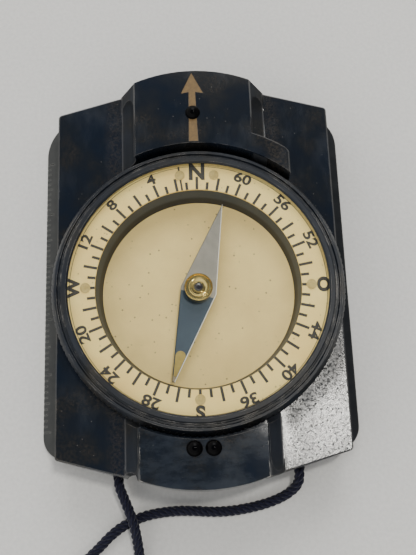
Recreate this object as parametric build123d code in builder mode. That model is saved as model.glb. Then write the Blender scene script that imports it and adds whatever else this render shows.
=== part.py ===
from build123d import *
from math import pi, radians, sqrt, tan
import os

# Marching compass with a moulded body, a turning dial ring, a pivoted needle,
# open bead sights, a bevelled ruler plate underneath and a lanyard.
# Millimetres. The origin is on the underside, below the needle's pivot.
# +Y is the sighting direction (the painted arrow), +X is east, +Z is up.

os.makedirs("parts", exist_ok=True)

# ---------------------------------------------------------------- body, plan
BODY_HALF_WIDTH = 24.0
NORTH_CORNER_Y = 33.1
SOUTH_CORNER_Y = -27.4
END_SLOPE = 15.5            # degrees, corner plates' ends against the X axis
NORTH_APEX_Y = 39.0
SOUTH_APEX_Y = -32.95
LUG_HALF_WIDTH = 10.05
CORNER_RADIUS = 0.7

# ------------------------------------------------------------ body, heights
BASE_THICKNESS = 2.2
DECK_Z = 11.0               # corner plates
LUG_Z = 15.0                # sighting lugs
EDGE_BREAK = 0.25

# --------------------------------------------------------- lugs and channels
LUG_BORE_RADIUS = 25.2      # arc that faces the dial ring
FLANK_RUN = 2.75            # how far a lug's flank leans outwards
CHANNEL_RADIUS = 2.5
CHANNEL_X = 12.6
NORTH_CHANNEL_END = 32.4
SOUTH_CHANNEL_END = -28.2
LEDGE_RADIUS = 28.7
LEDGE_END_X = 16.4
LEDGE_CORNER_RADIUS = 1.6
LEDGE_OVERLAP = 1.0         # how far it reaches into the round space before that is cut
NOTCH_RADIUS = 1.4          # scallop in the south end, beside the left cord exit
NOTCH_SPOT = (-11.9, -31.2)

# ------------------------------------------------------------------ ruler plate
PLATE_LEFT = -27.7
PLATE_RIGHT = 26.8
PLATE_NORTH = 36.2
PLATE_SOUTH = -26.75
PLATE_NORTH_CORNER = 6.5
PLATE_SOUTH_CORNER = 4.0
BEVEL_START_X = -24.3
BEVEL_EDGE_THICKNESS = 0.7
RULER_LENGTH = 50
RULER_ZERO_Y = -22.0
RULER_MARK_WIDTH = 0.22
RULER_MARK_DEPTH = 0.12
RULER_MARK_LENGTHS = {10: 1.5, 5: 1.15, 1: 0.8}

# ------------------------------------------------------------------ dial ring
BOSS_RADIUS = 20.95
BOSS_Z = 12.3
SPRING_GROOVE_BOTTOM = 11.5
SPRING_GROOVE_TOP = 12.1
SPRING_GROOVE_DEPTH = 0.5
SPRING_WIRE_RADIUS = 0.28
SPRING_CENTRE_RADIUS = 20.9
SPRING_ARC = 340            # degrees
RING_BORE = 21.0
RING_RADIUS = 24.5
RING_BOTTOM = 11.25
SHELF_Z = 12.8
SEAT_RADIUS = 22.3
GLASS_RADIUS = 22.28         # scale ring, gasket and glass, in the seat
RETAINER_SEAT_RADIUS = 22.75
RETAINER_RADIUS = 22.73
KNURL_COUNT = 144
KNURL_DEPTH = 0.28
KNURL_TOP = 13.4
KNURL_OUTER_HALF = 0.66
KNURL_OUTER_REACH = 0.8
RING_FOOT_CHAMFER = 0.15
SHOULDER_Z = 13.0           # top of the skirt's upright face
SHOULDER_RADIUS = 24.1
SHOULDER_TOP = 13.8
RIDGE_Z = 14.1              # outer ridge of the ring
RIDGE_OUTER = 23.9
RIDGE_INNER = 23.5
GROOVE_Z = 13.75            # groove between the two ridges
GROOVE_OUTER = 23.3
GROOVE_INNER = 23.0
INNER_RIDGE_Z = 14.2
INNER_RIDGE_OUTER = 22.9
SPRING_SPACE_DEPTH = 0.4    # groove in the ring's bore, opposite the boss's
SPRING_SPACE_MARGIN = 0.1
DIAL_TURN = -1.0            # degrees, how the dial ring is set at rest

SCALE_INNER = 17.25
SCALE_THICKNESS = 0.4
GASKET_INNER = 22.1
GASKET_THICKNESS = 0.3
CRYSTAL_THICKNESS = 0.6
RETAINER_INNER = 21.65
RETAINER_HEIGHT = 0.45
RETAINER_CHAMFER = 0.15
RETAINER_BEVEL_RUN = 0.3    # sloping face towards the glass
RETAINER_BEVEL_DROP = 0.2
RETAINER_SEAT_DROP = 0.05   # lets the retainer press on the glass, not on the ring
LUME_DOT_RADIUS = 0.85
LUME_DOT_HEIGHT = 0.12
LUME_NORTH_RADIUS = 20.05
LUME_NORTH_ANGLE = 8.44     # degrees either side of north
LUME_CARDINAL_RADIUS = 18.85

# ------------------------------------------------------------- capsule, dial
CAPSULE_RADIUS = 18.85
CAPSULE_BOTTOM = 7.65
CAPSULE_FLOOR = 8.3
CAPSULE_FLANGE_RADIUS = 20.6
CAPSULE_TOP = 12.6
WELL_TOP_RADIUS = 17.35
WELL_BOTTOM_RADIUS = 16.45
WELL_CORNER_Z = 8.9         # where the sloping wall turns upright round the dial plate
RECESS_RADIUS = 18.95
RECESS_BOTTOM = 7.6
DIAL_RADIUS = 16.4
DIAL_TOP = 8.75
STEM_RADIUS = 0.9
STEM_HOLE_RADIUS = 0.95
STEM_BOTTOM = 7.75
PIVOT_FLANGE_RADIUS = 1.5
PIVOT_FLANGE_RIM = 0.3
PIVOT_FLANGE_HEIGHT = 0.45
PIVOT_BOSS_RADIUS = 0.8
PIVOT_CHAMFER = 0.1
PIVOT_TOP = 9.8

# --------------------------------------------------------------------- needle
NEEDLE_HEADING = -16.8      # degrees, needle's rest direction, clockwise of north
NEEDLE_HALF_LENGTH = 16.2
NEEDLE_HALF_WIDTH = 3.1
NEEDLE_BOTTOM = 10.4
NEEDLE_THICKNESS = 0.2
NEEDLE_BLUNT_HALF = 0.25
NEEDLE_BEVEL = 0.13
HUB_STEM_RADIUS = 1.0
HUB_BORE_RADIUS = 0.55
HUB_CAP_RADIUS = 2.37
HUB_BOTTOM = 10.05
HUB_COLLAR_RADIUS = 1.4
HUB_RIM_Z = 12.87
HUB_CROWN_Z = 13.05
HUB_DISH_OUTER = 2.1
HUB_DISH_INNER = 1.72
HUB_DISH_Z = 12.5
HUB_UNDERCUT = 0.2
HUB_CHAMFER = 0.12
HUB_CROWN_BEVEL = 0.15
HUB_CROWN_OUTER = 1.55
HUB_CROWN_INNER = 1.42
HUB_CONE_FOOT = 0.98        # a shallow cone leads down to the collar that holds the jewel
HUB_CONE_Z = 12.74
HUB_COLLAR_Z = 12.88
HUB_COLLAR_EDGE = 0.9
PIN_RADIUS = 0.3
PIN_BOTTOM = 8.5
PIN_SHOULDER_Z = 12.4
PIN_TIP_Z = 12.9
PIN_TIP_RADIUS = 0.03
JEWEL_RADIUS = 0.7
JEWEL_BOTTOM = 12.5
JEWEL_TOP = 13.25
JEWEL_SHOULDER_Z = 13.0
JEWEL_FACET_RADIUS = 0.5
JEWEL_FACET_Z = 13.17
JEWEL_TABLE_RADIUS = 0.2
JEWEL_CUP_RADIUS = 0.5
JEWEL_PLAY = 0.05
LUME_DROP_RADIUS = 0.85
LUME_DROP_Y = -11.7
LUME_DROP_END_Y = -15.2

# ----------------------------------------------------------------- sight beads
BEAD_RADIUS = 1.3
BEAD_HEIGHT = 1.0
BEAD_SHANK_RADIUS = 0.6
BEAD_SHANK_LENGTH = 2.5
FRONT_BEAD = (0.0, 30.9)
REAR_BEAD_X = 1.5
REAR_BEAD_Y = -26.6

# ------------------------------------------------------------- painted arrow
ARROW_TIP_Y = 38.6
ARROW_HEAD_Y = 34.6
ARROW_HEAD_HALF = 1.95
ARROW_BARB = 0.25
ARROW_NECK_HALF = 0.58
ARROW_FOOT_HALF = 0.8
ARROW_FOOT_Y = 25.5
ARROW_POCKET = 0.3
ARROW_THICKNESS = 0.25

# --------------------------------------------------------------------- screws
BASE_SCREW_SPOTS = [(-19.5, 28.5), (19.5, 28.5), (-19.5, -22.0), (19.5, -22.0)]
SCREW_RADIUS = 0.8
SCREW_HEAD_RADIUS = 1.6
SCREW_LENGTH = 6.5
CAPSULE_SCREW_HEAD_RADIUS = 1.35
CAPSULE_SCREW_LENGTH = 3.0
SCREW_SLOT_WIDTH = 0.35
SCREW_SLOT_DEPTH = 0.35
SCREW_CLEARANCE = 0.05
CAPSULE_SCREW_CIRCLE = 12.0
CAPSULE_SCREW_COUNT = 3

# -------------------------------------------------------------------- lanyard
CORD_DIAMETER = 1.8
CORD_ARC_SHARE = 0.45       # of the shorter run beside a bend
CORD_LEFT_X = -14.5
CORD_RIGHT_X = 15.9
CORD_EXIT_Z = 3.4
CORD_CROSS_Y = -25.6
CORD_SLOT_HALF = 1.25
CORD_SLOT_TOP = 4.75
CORD_INNER_BEND = 2.0
FLOOR = CORD_DIAMETER / 2     # centre height of a cord that lies on the surface
COIL_CENTRE = (-22.0, -63.0)
COIL_TURNS_ACROSS = 5
COIL_LAYERS = 2
COIL_MIDDLE_RADIUS = 10.5
COIL_OUTER_TURN = COIL_MIDDLE_RADIUS + (COIL_TURNS_ACROSS - 1) / 2 * CORD_DIAMETER
COIL_TOP = COIL_LAYERS * CORD_DIAMETER - FLOOR   # centre height of the upper layer

scale_top = SHELF_Z + SCALE_THICKNESS
gasket_top = scale_top + GASKET_THICKNESS
crystal_top = gasket_top + CRYSTAL_THICKNESS
retainer_top = crystal_top + RETAINER_HEIGHT
retainer_seat_z = crystal_top - RETAINER_SEAT_DROP
spring_space_top = SPRING_GROOVE_TOP + SPRING_SPACE_MARGIN
spring_space_bottom = SPRING_GROOVE_BOTTOM - SPRING_SPACE_MARGIN
needle_top = NEEDLE_BOTTOM + NEEDLE_THICKNESS


def end_wall_y(corner_y, x):
    """Y of a sloping end wall at x, for the end whose outer corner is at corner_y."""
    rise = (BODY_HALF_WIDTH - abs(x)) * tan(radians(END_SLOPE))
    return corner_y + rise if corner_y > 0 else corner_y - rise


def save(piece, label):
    """Label a finished piece and write its STEP file."""
    piece.part.label = label
    export_step(piece.part, f"parts/{label}.step")


def body_outline():
    """The body's plan as a closed wire: sloping ends with an arched lug between them."""
    north_lug_y = end_wall_y(NORTH_CORNER_Y, LUG_HALF_WIDTH)
    south_lug_y = end_wall_y(SOUTH_CORNER_Y, LUG_HALF_WIDTH)
    with BuildLine() as outline:
        Line((-BODY_HALF_WIDTH, SOUTH_CORNER_Y), (-BODY_HALF_WIDTH, NORTH_CORNER_Y))
        Line((-BODY_HALF_WIDTH, NORTH_CORNER_Y), (-LUG_HALF_WIDTH, north_lug_y))
        ThreePointArc((-LUG_HALF_WIDTH, north_lug_y), (0, NORTH_APEX_Y), (LUG_HALF_WIDTH, north_lug_y))
        Line((LUG_HALF_WIDTH, north_lug_y), (BODY_HALF_WIDTH, NORTH_CORNER_Y))
        Line((BODY_HALF_WIDTH, NORTH_CORNER_Y), (BODY_HALF_WIDTH, SOUTH_CORNER_Y))
        Line((BODY_HALF_WIDTH, SOUTH_CORNER_Y), (LUG_HALF_WIDTH, south_lug_y))
        ThreePointArc((LUG_HALF_WIDTH, south_lug_y), (0, SOUTH_APEX_Y), (-LUG_HALF_WIDTH, south_lug_y))
        Line((-LUG_HALF_WIDTH, south_lug_y), (-BODY_HALF_WIDTH, SOUTH_CORNER_Y))
    return outline.line


def arrow_outline():
    """The painted arrow's plan: a barbed head on a shaft that widens towards the dial."""
    right = [
        (0, ARROW_TIP_Y),
        (ARROW_HEAD_HALF, ARROW_HEAD_Y),
        (ARROW_NECK_HALF, ARROW_HEAD_Y + ARROW_BARB),
        (ARROW_FOOT_HALF, ARROW_FOOT_Y),
    ]
    left = [(-x, y) for x, y in reversed(right[1:])]
    with BuildLine() as outline:
        Polyline(*right, *left, close=True)
    return outline.line


# ================================================================= housing
with BuildPart() as lug_block:
    # Trapezium section along Y: flat top, leaning flanks. Both lugs come from it.
    with BuildSketch(Plane.XZ):
        Polygon(
            (-LUG_HALF_WIDTH - FLANK_RUN, DECK_Z),
            (LUG_HALF_WIDTH + FLANK_RUN, DECK_Z),
            (LUG_HALF_WIDTH, LUG_Z),
            (-LUG_HALF_WIDTH, LUG_Z),
            align=None,
        )
    extrude(amount=NORTH_APEX_Y, both=True)
    with BuildSketch(Plane.XY.offset(DECK_Z)):
        make_face(body_outline())
    extrude(amount=LUG_Z - DECK_Z, mode=Mode.INTERSECT)
    # Concave channels beside the lugs, with ball ends short of the body's ends.
    channel_length = NORTH_CHANNEL_END - SOUTH_CHANNEL_END
    for side in (-1, 1):
        with BuildSketch(Plane.XZ.offset(-NORTH_CHANNEL_END)):
            with Locations((side * CHANNEL_X, DECK_Z + CHANNEL_RADIUS)):
                Circle(CHANNEL_RADIUS)
        extrude(amount=channel_length, mode=Mode.SUBTRACT)
        with Locations(
            (side * CHANNEL_X, NORTH_CHANNEL_END, DECK_Z + CHANNEL_RADIUS),
            (side * CHANNEL_X, SOUTH_CHANNEL_END, DECK_Z + CHANNEL_RADIUS),
        ):
            Sphere(CHANNEL_RADIUS, mode=Mode.SUBTRACT)

with BuildPart() as ledge_block:
    # Raised ledge that runs on from the north lug round the dial ring, east side only.
    with BuildSketch(Plane.XY.offset(DECK_Z)):
        Circle(LEDGE_RADIUS)
        Rectangle(LEDGE_END_X, LEDGE_RADIUS, align=(Align.MIN, Align.MIN), mode=Mode.INTERSECT)
        Circle(LUG_BORE_RADIUS - LEDGE_OVERLAP, mode=Mode.SUBTRACT)
    extrude(amount=LUG_Z - DECK_Z)
    outer_corner = ledge_block.edges().filter_by(Axis.Z).group_by(Axis.X)[-1].sort_by(Axis.Y)[-1]
    fillet(outer_corner, LEDGE_CORNER_RADIUS)
    ledge_arcs = ledge_block.faces().sort_by(Axis.Z)[-1].edges().filter_by(GeomType.CIRCLE)
    chamfer(ledge_arcs.sort_by(SortBy.RADIUS)[-1], EDGE_BREAK)

with BuildPart() as housing:
    with BuildSketch(Plane.XY.offset(BASE_THICKNESS)):
        make_face(body_outline())
    extrude(amount=DECK_Z - BASE_THICKNESS)
    upright_edges = housing.edges().filter_by(Axis.Z).group_by(Axis.X)
    fillet(upright_edges[0] + upright_edges[-1], CORNER_RADIUS)
    chamfer(housing.faces().sort_by(Axis.Z)[-1].edges().filter_by(GeomType.LINE), EDGE_BREAK)
    add(lug_block.part)
    add(ledge_block.part)
    # The round space for the dial ring, down to the deck.
    with BuildSketch(Plane.XY.offset(DECK_Z)):
        Circle(LUG_BORE_RADIUS)
    extrude(amount=LUG_Z, mode=Mode.SUBTRACT)
    # Bearing boss for the ring, with the groove for its spring.
    with BuildSketch(Plane.XZ):
        Polygon(
            (0, RECESS_BOTTOM),
            (BOSS_RADIUS, RECESS_BOTTOM),
            (BOSS_RADIUS, SPRING_GROOVE_BOTTOM),
            (BOSS_RADIUS - SPRING_GROOVE_DEPTH, SPRING_GROOVE_BOTTOM),
            (BOSS_RADIUS - SPRING_GROOVE_DEPTH, SPRING_GROOVE_TOP),
            (BOSS_RADIUS, SPRING_GROOVE_TOP),
            (BOSS_RADIUS, BOSS_Z),
            (0, BOSS_Z),
            align=None,
        )
    revolve(axis=Axis.Z)
    with BuildSketch(Plane.XY.offset(RECESS_BOTTOM)):
        Circle(RECESS_RADIUS)
    extrude(amount=LUG_Z, mode=Mode.SUBTRACT)
    # Lanyard slot in the underside: two arms open to the south end, joined by a bar.
    with BuildSketch(Plane.XY.offset(BASE_THICKNESS)):
        with Locations((CORD_LEFT_X, CORD_CROSS_Y), (CORD_RIGHT_X, CORD_CROSS_Y)):
            Rectangle(2 * CORD_SLOT_HALF, -SOUTH_APEX_Y, align=(Align.CENTER, Align.MAX))
        with Locations(((CORD_LEFT_X + CORD_RIGHT_X) / 2, CORD_CROSS_Y)):
            Rectangle(CORD_RIGHT_X - CORD_LEFT_X + 2 * CORD_SLOT_HALF, 2 * CORD_SLOT_HALF)
    extrude(amount=CORD_SLOT_TOP - BASE_THICKNESS, mode=Mode.SUBTRACT)
    # Scallop in the south end wall.
    with BuildSketch(Plane.XY.offset(BASE_THICKNESS)):
        with Locations(NOTCH_SPOT):
            Circle(NOTCH_RADIUS)
    extrude(amount=LUG_Z, mode=Mode.SUBTRACT)
    # Pocket for the painted arrow.
    with BuildSketch(Plane.XY.offset(LUG_Z)):
        make_face(arrow_outline())
    extrude(amount=-ARROW_POCKET, mode=Mode.SUBTRACT)
    # Holes for the bead shanks.
    with BuildSketch(Plane.XY.offset(LUG_Z)):
        with Locations(FRONT_BEAD, (-REAR_BEAD_X, REAR_BEAD_Y), (REAR_BEAD_X, REAR_BEAD_Y)):
            Circle(BEAD_SHANK_RADIUS)
    extrude(amount=-BEAD_SHANK_LENGTH, mode=Mode.SUBTRACT)
    # Holes for the base screws, from below, and for the capsule screws, from above.
    with BuildSketch(Plane.XY.offset(BASE_THICKNESS)):
        with Locations(*BASE_SCREW_SPOTS):
            Circle(SCREW_RADIUS)
    extrude(amount=SCREW_LENGTH, mode=Mode.SUBTRACT)
    with BuildSketch(Plane.XY.offset(RECESS_BOTTOM)):
        with PolarLocations(CAPSULE_SCREW_CIRCLE, CAPSULE_SCREW_COUNT, start_angle=90):
            Circle(SCREW_RADIUS)
    extrude(amount=-CAPSULE_SCREW_LENGTH, mode=Mode.SUBTRACT)
save(housing, "housing")

# ================================================================ base plate
with BuildPart() as base_plate:
    with BuildSketch() as plate_plan:
        with Locations(((PLATE_LEFT + PLATE_RIGHT) / 2, (PLATE_NORTH + PLATE_SOUTH) / 2)):
            Rectangle(PLATE_RIGHT - PLATE_LEFT, PLATE_NORTH - PLATE_SOUTH)
        fillet(plate_plan.vertices().group_by(Axis.Y)[-1], PLATE_NORTH_CORNER)
        fillet(plate_plan.vertices().group_by(Axis.Y)[0], PLATE_SOUTH_CORNER)
    extrude(amount=BASE_THICKNESS)
    # Bevel along the west side, which carries the ruler.
    bevel_drop = BASE_THICKNESS - BEVEL_EDGE_THICKNESS
    bevel_run = BEVEL_START_X - PLATE_LEFT
    with BuildSketch(Plane.XZ):
        Polygon(
            (BEVEL_START_X, BASE_THICKNESS),
            (PLATE_LEFT - bevel_run, BASE_THICKNESS - 2 * bevel_drop),
            (PLATE_LEFT - bevel_run, BASE_THICKNESS),
            align=None,
        )
    extrude(amount=PLATE_NORTH, both=True, mode=Mode.SUBTRACT)
    # Millimetre marks, cut square to the bevel.
    bevel_plane = Plane(
        origin=(PLATE_LEFT, 0, BEVEL_EDGE_THICKNESS),
        x_dir=(bevel_run, 0, bevel_drop),
        z_dir=(-bevel_drop, 0, bevel_run),
    )
    with BuildSketch(bevel_plane):
        for millimetre in range(RULER_LENGTH + 1):
            step = 10 if millimetre % 10 == 0 else 5 if millimetre % 5 == 0 else 1
            with Locations((0, RULER_ZERO_Y + millimetre)):
                Rectangle(2 * RULER_MARK_LENGTHS[step], RULER_MARK_WIDTH)
    extrude(amount=-RULER_MARK_DEPTH, mode=Mode.SUBTRACT)
    # Countersunk holes for the base screws.
    with BuildSketch():
        with Locations(*BASE_SCREW_SPOTS):
            Circle(SCREW_HEAD_RADIUS + SCREW_CLEARANCE)
    extrude(amount=SCREW_HEAD_RADIUS - SCREW_RADIUS + SCREW_CLEARANCE, taper=45, mode=Mode.SUBTRACT)
    with BuildSketch():
        with Locations(*BASE_SCREW_SPOTS):
            Circle(SCREW_RADIUS)
    extrude(amount=BASE_THICKNESS, mode=Mode.SUBTRACT)
save(base_plate, "base_plate")


def screw_group(label, shank_plane, spots, head_radius, length):
    """Slotted countersunk screws: head faces on shank_plane, shanks along its normal."""
    with BuildPart() as screws:
        with BuildSketch(shank_plane):
            with spots:
                Circle(head_radius)
        extrude(amount=head_radius - SCREW_RADIUS, taper=45)
        with BuildSketch(shank_plane):
            with spots:
                Circle(SCREW_RADIUS)
        extrude(amount=length)
        with BuildSketch(shank_plane):
            with spots:
                Rectangle(SCREW_SLOT_WIDTH, 2 * head_radius)
        extrude(amount=SCREW_SLOT_DEPTH, mode=Mode.SUBTRACT)
    save(screws, label)


screw_group("base_screws", Plane.XY, Locations(*BASE_SCREW_SPOTS), SCREW_HEAD_RADIUS, SCREW_LENGTH)
screw_group(
    "capsule_screws",
    Plane(origin=(0, 0, CAPSULE_FLOOR), x_dir=(1, 0, 0), z_dir=(0, 0, -1)),
    PolarLocations(CAPSULE_SCREW_CIRCLE, CAPSULE_SCREW_COUNT, start_angle=-90),
    CAPSULE_SCREW_HEAD_RADIUS,
    CAPSULE_SCREW_LENGTH,
)

# ====================================================== arrow and sight beads
with BuildPart() as direction_arrow:
    with BuildSketch(Plane.XY.offset(LUG_Z - ARROW_POCKET)):
        make_face(arrow_outline())
        with Locations(FRONT_BEAD):
            Circle(BEAD_SHANK_RADIUS, mode=Mode.SUBTRACT)
    extrude(amount=ARROW_THICKNESS)
save(direction_arrow, "direction_arrow")


def sight_bead(label, spot):
    """A domed rivet: the dome stands on the lug, the shank goes down into it."""
    dome_radius = (BEAD_RADIUS ** 2 + BEAD_HEIGHT ** 2) / (2 * BEAD_HEIGHT)
    half_x = BEAD_RADIUS / 2
    half_z = sqrt(dome_radius ** 2 - half_x ** 2) - (dome_radius - BEAD_HEIGHT)
    with BuildPart() as bead:
        with BuildSketch(Plane(origin=(*spot, LUG_Z), x_dir=(1, 0, 0), z_dir=(0, -1, 0))):
            with BuildLine():
                Polyline(
                    (0, BEAD_HEIGHT),
                    (0, -BEAD_SHANK_LENGTH),
                    (BEAD_SHANK_RADIUS, -BEAD_SHANK_LENGTH),
                    (BEAD_SHANK_RADIUS, 0),
                    (BEAD_RADIUS, 0),
                )
                ThreePointArc((BEAD_RADIUS, 0), (half_x, half_z), (0, BEAD_HEIGHT))
            make_face()
        revolve(axis=Axis((*spot, 0), (0, 0, 1)))
    save(bead, label)


sight_bead("front_sight_bead", FRONT_BEAD)
sight_bead("rear_sight_bead_left", (-REAR_BEAD_X, REAR_BEAD_Y))
sight_bead("rear_sight_bead_right", (REAR_BEAD_X, REAR_BEAD_Y))

# ================================================================= dial ring
with BuildPart() as dial_ring:
    with BuildSketch(Plane.XZ):
        Polygon(
            (RING_BORE, RING_BOTTOM),
            (RING_RADIUS - RING_FOOT_CHAMFER, RING_BOTTOM),
            (RING_RADIUS, RING_BOTTOM + RING_FOOT_CHAMFER),
            (RING_RADIUS, SHOULDER_Z),
            (SHOULDER_RADIUS, SHOULDER_TOP),
            (RIDGE_OUTER, RIDGE_Z),
            (RIDGE_INNER, RIDGE_Z),
            (GROOVE_OUTER, GROOVE_Z),
            (GROOVE_INNER, GROOVE_Z),
            (INNER_RIDGE_OUTER, INNER_RIDGE_Z),
            (RETAINER_SEAT_RADIUS, INNER_RIDGE_Z),
            (RETAINER_SEAT_RADIUS, retainer_seat_z),
            (SEAT_RADIUS, retainer_seat_z),
            (SEAT_RADIUS, SHELF_Z),
            (RING_BORE, SHELF_Z),
            (RING_BORE, spring_space_top),
            (RING_BORE + SPRING_SPACE_DEPTH, spring_space_top),
            (RING_BORE + SPRING_SPACE_DEPTH, spring_space_bottom),
            (RING_BORE, spring_space_bottom),
            align=None,
        )
    revolve(axis=Axis.Z)
    # Serrations on the skirt.
    with BuildSketch(Plane.XY.offset(RING_BOTTOM)):
        with PolarLocations(RING_RADIUS - KNURL_DEPTH, KNURL_COUNT):
            Polygon(
                (0, 0),
                (KNURL_OUTER_REACH, -KNURL_OUTER_HALF),
                (KNURL_OUTER_REACH, KNURL_OUTER_HALF),
                align=None,
            )
    extrude(amount=KNURL_TOP - RING_BOTTOM, mode=Mode.SUBTRACT)
save(dial_ring, "dial_ring")


def turned(label, *profile):
    """A turned piece: a closed profile of (radius, height) points, revolved about Z."""
    with BuildPart() as piece:
        with BuildSketch(Plane.XZ):
            Polygon(*profile, align=None)
        revolve(axis=Axis.Z)
    save(piece, label)


turned(
    "scale_ring",
    (SCALE_INNER, SHELF_Z),
    (GLASS_RADIUS, SHELF_Z),
    (GLASS_RADIUS, scale_top),
    (SCALE_INNER, scale_top),
)
turned(
    "crystal_gasket",
    (GASKET_INNER, scale_top),
    (GLASS_RADIUS, scale_top),
    (GLASS_RADIUS, gasket_top),
    (GASKET_INNER, gasket_top),
)
turned(
    "crystal",
    (0, gasket_top),
    (GLASS_RADIUS, gasket_top),
    (GLASS_RADIUS, crystal_top),
    (0, crystal_top),
)
turned(
    "crystal_retainer",
    (RETAINER_INNER, crystal_top),
    (RETAINER_RADIUS, crystal_top),
    (RETAINER_RADIUS, retainer_top - RETAINER_CHAMFER),
    (RETAINER_RADIUS - RETAINER_CHAMFER, retainer_top),
    (RETAINER_INNER + RETAINER_BEVEL_RUN, retainer_top),
    (RETAINER_INNER, retainer_top - RETAINER_BEVEL_DROP),
)

with BuildPart() as scale_lume_dots:
    # One dot each side of north, and one at each other cardinal point.
    north = 90 + DIAL_TURN
    with BuildSketch(Plane.XY.offset(scale_top)):
        for heading in (north - LUME_NORTH_ANGLE, north + LUME_NORTH_ANGLE):
            with PolarLocations(LUME_NORTH_RADIUS, 1, start_angle=heading):
                Circle(LUME_DOT_RADIUS)
        for heading in (north + 90, north + 180, north + 270):
            with PolarLocations(LUME_CARDINAL_RADIUS, 1, start_angle=heading):
                Circle(LUME_DOT_RADIUS)
    extrude(amount=LUME_DOT_HEIGHT)
save(scale_lume_dots, "scale_lume_dots")

with BuildPart() as ring_spring:
    # Open wire ring that snaps the dial ring on to its boss.
    with BuildSketch(Plane.XZ):
        with Locations((SPRING_CENTRE_RADIUS, (SPRING_GROOVE_BOTTOM + SPRING_GROOVE_TOP) / 2)):
            Circle(SPRING_WIRE_RADIUS)
    revolve(axis=Axis.Z, revolution_arc=SPRING_ARC)
save(ring_spring, "ring_spring")

# ========================================================= capsule and dial
with BuildPart() as capsule_bowl:
    with BuildSketch(Plane.XZ):
        Polygon(
            (STEM_HOLE_RADIUS, CAPSULE_BOTTOM),
            (CAPSULE_RADIUS, CAPSULE_BOTTOM),
            (CAPSULE_RADIUS, BOSS_Z),
            (CAPSULE_FLANGE_RADIUS, BOSS_Z),
            (CAPSULE_FLANGE_RADIUS, CAPSULE_TOP),
            (WELL_TOP_RADIUS, CAPSULE_TOP),
            (WELL_BOTTOM_RADIUS, WELL_CORNER_Z),
            (WELL_BOTTOM_RADIUS, CAPSULE_FLOOR),
            (STEM_HOLE_RADIUS, CAPSULE_FLOOR),
            align=None,
        )
    revolve(axis=Axis.Z)
    # Countersunk holes in the bowl's floor.
    with BuildSketch(Plane.XY.offset(CAPSULE_FLOOR)):
        with PolarLocations(CAPSULE_SCREW_CIRCLE, CAPSULE_SCREW_COUNT, start_angle=90):
            Circle(CAPSULE_SCREW_HEAD_RADIUS + SCREW_CLEARANCE)
    extrude(amount=CAPSULE_BOTTOM - CAPSULE_FLOOR, taper=45, mode=Mode.SUBTRACT)
    with BuildSketch(Plane.XY.offset(CAPSULE_FLOOR)):
        with PolarLocations(CAPSULE_SCREW_CIRCLE, CAPSULE_SCREW_COUNT, start_angle=90):
            Circle(SCREW_RADIUS + SCREW_CLEARANCE)
    extrude(amount=CAPSULE_BOTTOM - CAPSULE_FLOOR, mode=Mode.SUBTRACT)
save(capsule_bowl, "capsule_bowl")

turned(
    "dial_plate",
    (STEM_HOLE_RADIUS, CAPSULE_FLOOR),
    (DIAL_RADIUS, CAPSULE_FLOOR),
    (DIAL_RADIUS, DIAL_TOP),
    (STEM_HOLE_RADIUS, DIAL_TOP),
)
turned(
    "pivot_base",
    (0, STEM_BOTTOM),
    (STEM_RADIUS, STEM_BOTTOM),
    (STEM_RADIUS, DIAL_TOP),
    (PIVOT_FLANGE_RADIUS, DIAL_TOP),
    (PIVOT_FLANGE_RADIUS, DIAL_TOP + PIVOT_FLANGE_RIM),
    (PIVOT_BOSS_RADIUS, DIAL_TOP + PIVOT_FLANGE_HEIGHT),
    (PIVOT_BOSS_RADIUS, PIVOT_TOP - PIVOT_CHAMFER),
    (PIN_RADIUS, PIVOT_TOP),
    (PIN_RADIUS, PIN_BOTTOM),
    (0, PIN_BOTTOM),
)
turned(
    "pivot_pin",
    (0, PIN_BOTTOM),
    (PIN_RADIUS, PIN_BOTTOM),
    (PIN_RADIUS, PIN_SHOULDER_Z),
    (PIN_TIP_RADIUS, PIN_TIP_Z),
    (0, PIN_TIP_Z),
)

# ==================================================================== needle
with BuildPart() as needle_blade:
    with BuildSketch(Plane.XY.offset(NEEDLE_BOTTOM).rotated((0, 0, NEEDLE_HEADING))):
        Polygon(
            (0, NEEDLE_HALF_LENGTH),
            (NEEDLE_HALF_WIDTH, 0),
            (NEEDLE_BLUNT_HALF, -NEEDLE_HALF_LENGTH),
            (-NEEDLE_BLUNT_HALF, -NEEDLE_HALF_LENGTH),
            (-NEEDLE_HALF_WIDTH, 0),
            align=None,
        )
        Circle(HUB_STEM_RADIUS, mode=Mode.SUBTRACT)
    extrude(amount=NEEDLE_THICKNESS)
    chamfer(needle_blade.faces().sort_by(Axis.Z)[-1].outer_wire().edges(), NEEDLE_BEVEL)
save(needle_blade, "needle_blade")

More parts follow.
